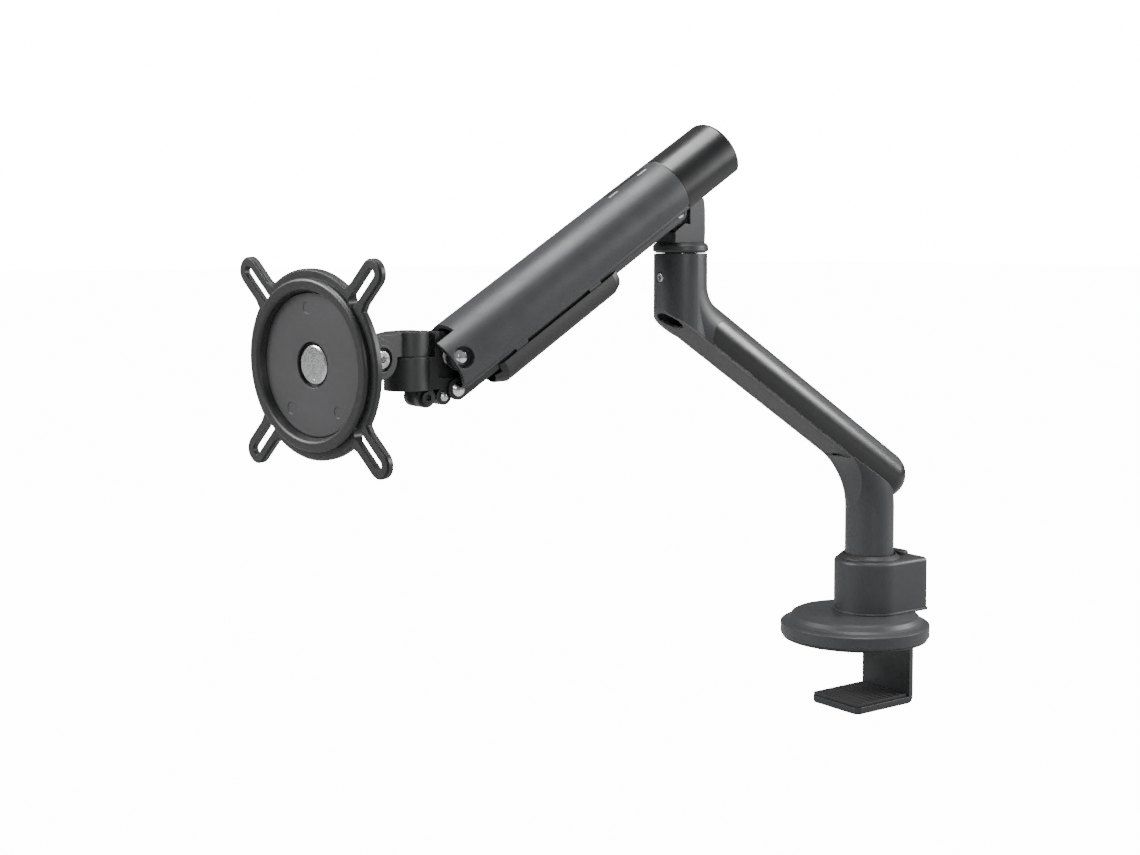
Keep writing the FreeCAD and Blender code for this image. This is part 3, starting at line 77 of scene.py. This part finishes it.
# %% [markdown]
# ## Studio
# Dark satin metal only shows its shape through what it reflects, so large soft lamps stand on the left,
# above and behind, and they leave the middle of every round part dark. The backdrop looks white, but
# it lights the arm only a little: a light path node tells a direct look at the sky from a reflection.

# %% Floor and lamps
bpy.ops.object.select_all(action="DESELECT")
bpy.ops.mesh.primitive_plane_add(size=30, location=(0, 0, -0.0515))
floor = bpy.context.object
floor.name = "studio_floor"


def lamp(name, place, aim, size, power):
    """A square soft lamp at a place, facing a point."""
    data = bpy.data.lights.new(name, "AREA")
    data.size = size
    data.energy = power
    made = bpy.data.objects.new(name, data)
    bpy.context.scene.collection.objects.link(made)
    made.location = place
    made.rotation_mode = "QUATERNION"
    made.rotation_quaternion = (Vector(aim) - Vector(place)).to_track_quat("-Z", "Y")
    return made


middle = (0.0, -0.2, 0.15)
lamp("key_lamp", (-0.7, -1.7, 1.1), middle, 0.9, 60)
lamp("top_lamp", (0.1, -0.2, 1.8), middle, 0.9, 46)
lamp("rim_lamp", (0.8, 1.1, 0.7), middle, 0.6, 34)
lamp("front_lamp", (1.7, -0.7, 0.5), middle, 0.5, 8)
world = bpy.data.worlds.new("studio_sky")
bpy.context.scene.world = world
world.use_nodes = True
sky = world.node_tree.nodes["Background"]
sky.inputs["Color"].default_value = (1, 1, 1, 1)
seen_directly = world.node_tree.nodes.new("ShaderNodeLightPath").outputs["Is Camera Ray"]
BACKDROP_GLOW, SKY_FILL = 16.0, 0.28
glow = world.node_tree.nodes.new("ShaderNodeMapRange")
glow.inputs["To Min"].default_value = SKY_FILL
glow.inputs["To Max"].default_value = BACKDROP_GLOW
world.node_tree.links.new(seen_directly, glow.inputs["Value"])
world.node_tree.links.new(glow.outputs["Result"], sky.inputs["Strength"])

# %% [markdown]
# ## How a finish is built
# Every finish below starts from the same small kit: a material with one Principled shader, and noise
# that reads the object's own coordinates, so that a grain keeps its real size in millimetres. A fine
# noise gives the bump, a slow one makes the colour and the shine wander a little, and the edges of a
# part are found by comparing its true normal with one that is averaged over half a millimetre.

# %% The finish kit


def start_finish(name):
    """A new material with its shader, and a function that adds and wires nodes."""
    material = bpy.data.materials.new(name)
    material.use_nodes = True
    tree = material.node_tree
    shader = tree.nodes["Principled BSDF"]

    def add(kind, settings=None, **inputs):
        node = tree.nodes.new(kind)
        for key, value in (settings or {}).items():
            setattr(node, key, value)
        for key, value in inputs.items():
            numbered = key[0] == "_"
            plug = node.inputs[int(key[1:]) if numbered else key.replace("_", " ")]
            if isinstance(value, bpy.types.NodeSocket):
                tree.links.new(value, plug)
            else:
                plug.default_value = value
        return node

    return material, shader, tree, add


def noise(add, scale, detail=2.0, roughness=0.5, stretch=None, distortion=0.0):
    """Noise on the object's own coordinates; scale is in grains per metre."""
    place = add("ShaderNodeTexCoord").outputs["Object"]
    if stretch:
        place = add("ShaderNodeMapping", Vector=place, Scale=stretch).outputs["Vector"]
    made = add("ShaderNodeTexNoise", Vector=place, Scale=scale, Detail=detail, Roughness=roughness,
               Distortion=distortion)
    return made.outputs["Fac"]


def shade(colour, factor):
    """The same colour, darker or lighter."""
    return tuple(channel * factor for channel in colour)


def calc(add, operation, first, second=0.0):
    """One step of arithmetic on values."""
    return add("ShaderNodeMath", {"operation": operation}, _0=first, _1=second).outputs["Value"]


def spread(add, value, low, high, to_low, to_high):
    """Maps a value from one range to another."""
    made = add("ShaderNodeMapRange", _0=value, _1=low, _2=high, _3=to_low, _4=to_high)
    return made.outputs["Result"]


def edges(add, width, strength=1.0):
    """1 on a part's sharp edges and 0 on its faces."""
    rounded = add("ShaderNodeBevel", {"samples": 6}, Radius=width).outputs["Normal"]
    plain = add("ShaderNodeNewGeometry").outputs["Normal"]
    match = add("ShaderNodeVectorMath", {"operation": "DOT_PRODUCT"}, _0=rounded, _1=plain)
    return spread(add, match.outputs["Value"], 0.98, 0.80, 0.0, strength)


def blend(add, amount, first, second):
    """Mixes two colours."""
    made = add("ShaderNodeMix", {"data_type": "RGBA"})
    tree = made.id_data
    tree.links.new(amount, made.inputs["Factor"])
    for plug, value in (("A", first), ("B", second)):
        socket = next(s for s in made.inputs if s.name == plug and s.type == "RGBA")
        if isinstance(value, bpy.types.NodeSocket):
            tree.links.new(value, socket)
        else:
            socket.default_value = (*value, 1)
    return next(s for s in made.outputs if s.type == "RGBA")


def bump(add, height, distance, strength, soft_edge=0.0):
    """Turns a height into a shading normal, on top of slightly rounded edges."""
    made = add("ShaderNodeBump", Height=height, Distance=distance, Strength=strength)
    if soft_edge:
        rounded = add("ShaderNodeBevel", {"samples": 6}, Radius=soft_edge).outputs["Normal"]
        made.id_data.links.new(rounded, made.inputs["Normal"])
    return made.outputs["Normal"]


print("finish kit ready")

# %% [markdown]
# ## Powder coat
# The arms, the clamp and the joints are metal with a baked powder coat. Close up it has a fine pebbled
# skin, because the powder melts into tiny droplets; over a whole arm the shine wanders a little, and
# on sharp edges the coat is thin and rubs lighter. Three shades are used: the arms' grey, a coarser
# and slightly darker one on the clamp, and a nearly black one on the head.

# %% Powder coat materials


def powder_coat(name, colour, roughness, pebble=1500):
    material, shader, tree, add = start_finish(name)
    slow = noise(add, 14, detail=3)
    pebbles = noise(add, pebble, detail=3, roughness=0.6)
    base = blend(add, spread(add, slow, 0.3, 0.7, 0, 1), shade(colour, 0.90), shade(colour, 1.09))
    specks = spread(add, pebbles, 0.62, 0.80, 0, 0.35)
    speckled = blend(add, specks, base, tuple(min(1, c * 1.8 + 0.01) for c in colour))
    worn = blend(add, edges(add, 0.0005, 0.35), speckled, tuple(min(1, c * 2.6 + 0.02) for c in colour))
    tree.links.new(worn, shader.inputs["Base Color"])
    shine = spread(add, noise(add, 45, detail=4), 0.3, 0.7, roughness - 0.05, roughness + 0.06)
    tree.links.new(shine, shader.inputs["Roughness"])
    tree.links.new(bump(add, pebbles, 0.00006, 0.55, 0.0006), shader.inputs["Normal"])
    shader.inputs["Specular IOR Level"].default_value = 0.36
    return material


arm_coat = powder_coat("arm_powder_coat", (0.030, 0.031, 0.033), 0.40)
clamp_coat = powder_coat("clamp_powder_coat", (0.026, 0.027, 0.029), 0.46, pebble=1100)
head_coat = powder_coat("head_powder_coat", (0.017, 0.0175, 0.018), 0.42)
print("powder coats:", arm_coat.name, clamp_coat.name, head_coat.name)

# %% [markdown]
# ## Plastics and rubber
# The rear cap and the lower arm's side cover are a half-gloss black: a soft, even shine that is broken
# only by hairline scratches from wiping. The cable covers and collars have the matte grain that a spark
# etched mould leaves. The jaw's pad and the base's pad are rubber, which is rougher still and a little
# dusty in its grain.

# %% Plastic and rubber materials


def gloss_plastic(name, colour):
    material, shader, tree, add = start_finish(name)
    haze = spread(add, noise(add, 60, detail=5, roughness=0.6), 0.35, 0.75, 0.31, 0.38)
    hairs = noise(add, 900, detail=1, stretch=(1.0, 0.04, 0.04), distortion=0.2)
    scratched = calc(add, "MAXIMUM", haze, spread(add, hairs, 0.74, 0.84, 0.0, 0.41))
    tree.links.new(scratched, shader.inputs["Roughness"])
    wander = spread(add, noise(add, 20), 0.3, 0.7, 0, 1)
    tone = blend(add, wander, shade(colour, 0.8), shade(colour, 1.25))
    tree.links.new(tone, shader.inputs["Base Color"])
    tree.links.new(bump(add, noise(add, 40, detail=1), 0.00001, 0.1), shader.inputs["Normal"])
    shader.inputs["Coat Weight"].default_value = 0.06
    shader.inputs["Coat Roughness"].default_value = 0.12
    shader.inputs["Specular IOR Level"].default_value = 0.42
    return material


def etched_plastic(name, colour, roughness, grain, depth=0.00005):
    material, shader, tree, add = start_finish(name)
    pits = add("ShaderNodeTexVoronoi", Vector=add("ShaderNodeTexCoord").outputs["Object"], Scale=grain)
    fine = noise(add, grain * 1.7, detail=3, roughness=0.7)
    height = calc(add, "ADD", pits.outputs["Distance"], fine)
    tree.links.new(bump(add, height, depth, 0.6, 0.0005), shader.inputs["Normal"])
    wander = spread(add, noise(add, 25, detail=3), 0.3, 0.7, 0, 1)
    tone = blend(add, wander, shade(colour, 0.85), shade(colour, 1.15))
    edged = blend(add, edges(add, 0.0004, 0.25), tone, tuple(min(1, c * 2.2 + 0.01) for c in colour))
    tree.links.new(edged, shader.inputs["Base Color"])
    shine = spread(add, fine, 0.3, 0.7, roughness - 0.06, roughness + 0.08)
    tree.links.new(shine, shader.inputs["Roughness"])
    return material


gloss_black = gloss_plastic("gloss_black_plastic", (0.004, 0.004, 0.0045))
matte_black = etched_plastic("matte_black_plastic", (0.010, 0.010, 0.0105), 0.52, 1400)
ring_black = etched_plastic("ring_plastic", (0.008, 0.008, 0.0085), 0.40, 1700, 0.00003)
dish_black = etched_plastic("dish_plastic", (0.030, 0.030, 0.032), 0.45, 1700, 0.00003)
rubber_black = etched_plastic("pad_rubber", (0.017, 0.017, 0.018), 0.80, 900, 0.00009)
bearing_white = etched_plastic("bearing_plastic", (0.55, 0.54, 0.50), 0.38, 1800, 0.00001)
print("plastics:", gloss_black.name, matte_black.name, dish_black.name, rubber_black.name)

# %% [markdown]
# ## Bare metals
# Turned steel carries fine rings left by the lathe, so its grain runs round the part's own axis: the
# coordinates are first moved and turned to that axis, and a wave of the distance from it draws the
# rings. Polished pins have only a faint haze. Black oxide is steel again, dark and slightly blotchy.

# %% Metal materials


def turned_steel(name, centre, axis, colour=(0.62, 0.62, 0.63), roughness=0.24, rings=4200):
    material, shader, tree, add = start_finish(name)
    turn = Vector(axis).normalized().rotation_difference(Vector((0, 0, 1)))
    place = add("ShaderNodeTexCoord").outputs["Object"]
    moved = add("ShaderNodeVectorMath", {"operation": "SUBTRACT"}, _0=place, _1=tuple(centre))
    here = moved.outputs["Vector"]
    local = add("ShaderNodeMapping", Vector=here, Rotation=turn.to_euler()).outputs["Vector"]
    flat = add("ShaderNodeVectorMath", {"operation": "MULTIPLY"}, _0=local, _1=(1, 1, 0))
    away = add("ShaderNodeVectorMath", {"operation": "LENGTH"}, _0=flat.outputs["Vector"])
    groove = calc(add, "SINE", calc(add, "MULTIPLY", away.outputs["Value"], float(rings)))
    wander = noise(add, 500, detail=3)
    height = calc(add, "ADD", groove, wander)
    tree.links.new(bump(add, height, 0.00002, 0.35, 0.0003), shader.inputs["Normal"])
    shine = spread(add, wander, 0.3, 0.7, roughness - 0.06, roughness + 0.08)
    tree.links.new(shine, shader.inputs["Roughness"])
    blotches = spread(add, noise(add, 90), 0.3, 0.7, 0, 1)
    tone = blend(add, blotches, shade(colour, 0.85), colour)
    tree.links.new(tone, shader.inputs["Base Color"])
    shader.inputs["Metallic"].default_value = 1.0
    return material


def plain_metal(name, colour, roughness, blotch=60):
    material, shader, tree, add = start_finish(name)
    patches = noise(add, blotch, detail=4, roughness=0.6)
    tone = blend(add, spread(add, patches, 0.3, 0.7, 0, 1), shade(colour, 0.8), colour)
    tree.links.new(tone, shader.inputs["Base Color"])
    shine = spread(add, patches, 0.3, 0.7, roughness, roughness + 0.10)
    tree.links.new(shine, shader.inputs["Roughness"])
    tree.links.new(bump(add, noise(add, 900, detail=2), 0.00001, 0.3, 0.0003), shader.inputs["Normal"])
    shader.inputs["Metallic"].default_value = 1.0
    return material


polished = plain_metal("polished_steel", (0.80, 0.80, 0.81), 0.07)
oxide = plain_metal("black_oxide_steel", (0.055, 0.055, 0.06), 0.34)
print("metals:", polished.name, oxide.name)

# %% [markdown]
# ## Dressing the CAD parts
# A CAD part keeps its own mesh, and only its material slots are filled. The table says which finish
# each part has. Turned steel needs to know each part's centre and axis, so those parts are done
# one by one.

# %% Fill the material slots


def dress(part, material):
    """Gives a part one finish."""
    slots = nodes[part].data.materials
    slots.clear()
    slots.append(material)


def centre_of(part):
    low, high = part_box(part)
    return (low + high) / 2


finishes = {
    arm_coat: ["lower_arm_casting", "upper_arm_tube", "elbow_ring", "elbow_yoke", "clamp_bracket"],
    clamp_coat: ["base_plate", "clamp_housing"],
    head_coat: ["lower_link", "front_bracket", "pan_neck", "tilt_block", "vesa_plate"],
    gloss_black: ["lower_arm_cover", "rear_cap"],
    matte_black: ["base_collar", "screw_cap", "lower_cable_cover", "elbow_washer", "upper_cable_clip",
                  "tension_carriage", "indicator_window", "pan_bush"],
    ring_black: ["plate_ring"],
    dish_black: ["dish_disc"],
    rubber_black: ["base_pad", "jaw_pad"],
    bearing_white: ["swivel_washer", "post_bush_lower", "post_bush_upper", "elbow_bush_lower",
                    "elbow_bush_upper", "front_pivot_bush", "swivel_bush"],
    polished: ["rear_link_pin", "front_link_pin", "front_pivot_pin", "gas_strut_rod", "rear_pivot_pin"],
    oxide: ["housing_screws", "clamp_nut", "clamp_screw", "spring_holder", "gas_strut_body",
            "pan_lock_screw", "pan_pin", "pan_circlip", "tilt_nut"],
}
for material, parts in finishes.items():
    for part in parts:
        dress(part, material)

tilt_axis = next(j for j in frame["joints"] if j["name"] == "tilt")["axis"]
plate_axis = next(j for j in frame["joints"] if j["name"] == "plate_turn")["axis"]
arm_axis = next(j for j in frame["joints"] if j["name"] == "tension_screw_turn")["axis"]
turned_parts = {"base_spindle": (0, 0, 1), "elbow_spindle": (0, 0, 1), "elbow_set_screw": (0, 1, 0),
                "tension_screw": arm_axis, "tilt_screw": tilt_axis, "bracket_stop_pin": (1, 0, 0),
                "swivel_bolt": plate_axis}
for part, axis in turned_parts.items():
    dress(part, turned_steel(part + "_steel", centre_of(part), axis))
undressed = [name for name, part in nodes.items() if not any(part.data.materials)]
print("dressed:", len(nodes) - len(undressed), "left:", undressed)

# %% [markdown]
# ## Floor
# The floor should look nearly as white as the backdrop, so that no hard horizon runs behind the arm, but
# it mustn't light the arm from below. The same light path node mixes in a glow for direct looks only,
# and every reflection meets plain matte grey.

# %% Floor finish
floor_finish, floor_shader, floor_tree, floor_add = start_finish("pale_floor")
floor_shader.inputs["Roughness"].default_value = 0.9
floor_shader.inputs["Base Color"].default_value = (0.34, 0.34, 0.34, 1)
backlight = floor_add("ShaderNodeEmission", Strength=BACKDROP_GLOW)
seen = floor_add("ShaderNodeLightPath").outputs["Is Camera Ray"]
share = spread(floor_add, seen, 0, 1, 0, 0.9)
lit_floor = floor_add("ShaderNodeMixShader", _0=share)
floor_tree.links.new(floor_shader.outputs["BSDF"], lit_floor.inputs[1])
floor_tree.links.new(backlight.outputs["Emission"], lit_floor.inputs[2])
floor_tree.links.new(lit_floor.outputs["Shader"], floor_tree.nodes["Material Output"].inputs["Surface"])
floor.data.materials.append(floor_finish)

# %% [markdown]
# ## Modelling helpers
# The small details are modelled with the same operators that the Edit menus hold. Each operator acts
# on whatever is selected, so two helpers come first: one that clears the selection and goes into edit
# mode with the wanted faces picked by a rule, and one that puts a finished piece's place into its mesh
# and hangs it on a moving body.

# %% Helpers for modelling by operators


def fresh(maker, name, **settings):
    """Adds a primitive with nothing else selected, and names it."""
    if bpy.context.object and bpy.context.object.mode != "OBJECT":
        bpy.ops.object.mode_set(mode="OBJECT")
    bpy.ops.object.select_all(action="DESELECT")
    maker(**settings)
    piece = bpy.context.object
    piece.name = name
    return piece


def pick(piece, rule, kind="FACE"):
    """Goes into edit mode with only the faces or edges that a rule accepts selected."""
    bpy.ops.object.mode_set(mode="EDIT")
    bpy.ops.mesh.select_mode(type=kind)
    shape = bmesh.from_edit_mesh(piece.data)
    parts = shape.faces if kind == "FACE" else shape.edges
    for part in parts:
        part.select_set(False)
    chosen = [part for part in parts if rule(part)]
    for part in chosen:
        part.select_set(True)
    shape.select_flush_mode()
    bmesh.update_edit_mesh(piece.data)
    return len(chosen)


def settle(piece, place=None):
    """Leaves edit mode and writes the piece's place, and an extra turn if given, into its mesh."""
    bpy.ops.object.mode_set(mode="OBJECT")
    piece.data.transform((place or Matrix()) @ piece.matrix_world)
    piece.matrix_world = Matrix()
    piece.data.update()


def hang(piece, body, material, stands_for=()):
    """Gives a finished piece its material and its body, and hides the CAD parts it stands for."""
    piece.data.materials.clear()
    piece.data.materials.append(material)
    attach(piece, body)
    if stands_for:
        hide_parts(*stands_for)
    print(piece.name, "faces:", len(piece.data.polygons), "on", body)


def frame_of(centre, along, up):
    """A placing matrix with its X along one direction and its Z near another."""
    x = Vector(along).normalized()
    y = Vector(up).cross(x).normalized()
    z = x.cross(y)
    turn = Matrix((x, y, z)).transposed().to_4x4()
    return Matrix.Translation(Vector(centre)) @ turn


print("modelling helpers ready")

# %% [markdown]
# ## The jaw's ribbed pad
# The rubber that bites the underside of the desk is moulded with cross ribs, so that it grips. The CAD
# pad is a plain slab. Here it is modelled again inside the same box: a block is cut into strips with
# bisect, every second strip of its top is inset and pushed down, and a bevel rounds the ribs. Cutting
# grooves down, and not adding ribs on top, keeps the pad's height true.

# %% Model the jaw pad
pad_low, pad_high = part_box("jaw_pad")
pad_middle, pad_size = (pad_low + pad_high) / 2, pad_high - pad_low
RIB_COUNT = 9
GROOVE_DEPTH = 0.0008
CORNER_RADIUS, GROOVE_INSET, RIB_ROUNDING = 0.004, 0.0006, 0.00025
jaw_grip = fresh(bpy.ops.mesh.primitive_cube_add, "jaw_grip_pad", size=1, location=pad_middle,
                 scale=pad_size)


def front_corner(edge):
    start, end = (vertex.co for vertex in edge.verts)
    return abs(start.z - end.z) > 0.5 and start.y < 0


pick(jaw_grip, front_corner, "EDGE")
bpy.ops.mesh.bevel(offset=CORNER_RADIUS, offset_type="OFFSET", segments=6)
strip = pad_size.y / (2 * RIB_COUNT + 1)
for number in range(1, 2 * RIB_COUNT + 1):
    bpy.ops.mesh.select_all(action="SELECT")
    bpy.ops.mesh.bisect(plane_co=(0, pad_low.y + number * strip, 0), plane_no=(0, 1, 0))


def every_second_top(face):
    middle = jaw_grip.matrix_world @ face.calc_center_median()
    row = int((middle.y - pad_low.y) / strip)
    return face.normal.z > 0.9 and row % 2 == 1


grooves = pick(jaw_grip, every_second_top)
bpy.ops.mesh.inset(thickness=GROOVE_INSET, use_individual=True)
bpy.ops.transform.translate(value=(0, 0, -GROOVE_DEPTH))
settle(jaw_grip)
rounding = jaw_grip.modifiers.new("soft_ribs", "BEVEL")
rounding.width = RIB_ROUNDING
rounding.segments = 2
rounding.limit_method = "ANGLE"
bpy.ops.object.modifier_apply(modifier=rounding.name)
bpy.ops.object.shade_smooth_by_angle(angle=math.radians(35))
hang(jaw_grip, "clamp_jaw", rubber_black, ["jaw_pad"])
print("grooves:", grooves)

# %% [markdown]
# ## Painted highlights beside the tension window
# Two light strips stand on the tube's upper flank by the window. Their light grey is painted highlight,
# put where the window's edges catch the lamps. They lie on a curved wall, so each starts as an open ring
# of the tube's own radius. The ring is extruded to the strip's length, bisected twice so that only a
# short sector is left, and given its thickness with Solidify.

# %% Model the painted highlight strips
TUBE_RADIUS = 0.0215
TUBE_DROP = 0.004
GLINT_LONG, GLINT_THICK, GLINT_STAND_OFF = 0.008, 0.00010, 0.00004
GLINT_SECTOR = (168, 171.5)
GLINT_PLACES = (0.013, 0.040)
lift = next(j for j in frame["joints"] if j["name"] == "arm_lift")
rear_pivot = Vector(lift["pos_m"])
outward = Vector(arm_axis).normalized()
tube_up = Vector((1, 0, 0)).cross(outward).normalized()
if tube_up.z < 0:
    tube_up.negate()
to_tube = frame_of(rear_pivot - tube_up * TUBE_DROP, outward, tube_up)


def painted_glint_strip(name, along, low_angle, high_angle):
    """A thin raised arc on the tube that carries a painted highlight, between two angles measured from
    the tube's underside.
    """
    turn = Matrix.Rotation(math.radians(90), 4, "Y")
    glint_strip = fresh(bpy.ops.mesh.primitive_circle_add, name, vertices=240,
                 radius=TUBE_RADIUS + GLINT_STAND_OFF)
    pick(glint_strip, lambda e: True, "EDGE")
    bpy.ops.mesh.extrude_region_move(TRANSFORM_OT_translate={"value": (0, 0, GLINT_LONG)})
    for angle, sign in ((low_angle, 1), (high_angle, -1)):
        bpy.ops.mesh.select_all(action="SELECT")
        aim = math.radians(angle)
        normal = (-sign * math.sin(aim), sign * math.cos(aim), 0)
        bpy.ops.mesh.bisect(plane_co=(0, 0, 0), plane_no=normal, clear_inner=True)
    bpy.ops.object.mode_set(mode="OBJECT")
    wall = glint_strip.modifiers.new("glint_strip_wall", "SOLIDIFY")
    wall.thickness = GLINT_THICK
    wall.offset = 1
    bpy.ops.object.modifier_apply(modifier=wall.name)
    settle(glint_strip, to_tube @ Matrix.Translation((along, 0, 0)) @ turn)
    return glint_strip


# Painted highlight: a light grey on the thin strips stands in for the shine on the window's edges.
painted_glint_white = etched_plastic("painted_glint_white", (0.30, 0.30, 0.295), 0.5, 1500, 0.00001)
for number, along in enumerate(GLINT_PLACES):
    glint_strip = painted_glint_strip(f"scale_tick_{number}", along, *GLINT_SECTOR)
    low = min(v.co.z for v in glint_strip.data.vertices)
    print("tick height", round(low, 4), "vertices", len(glint_strip.data.vertices))
    hang(glint_strip, "upper_arm", painted_glint_white)
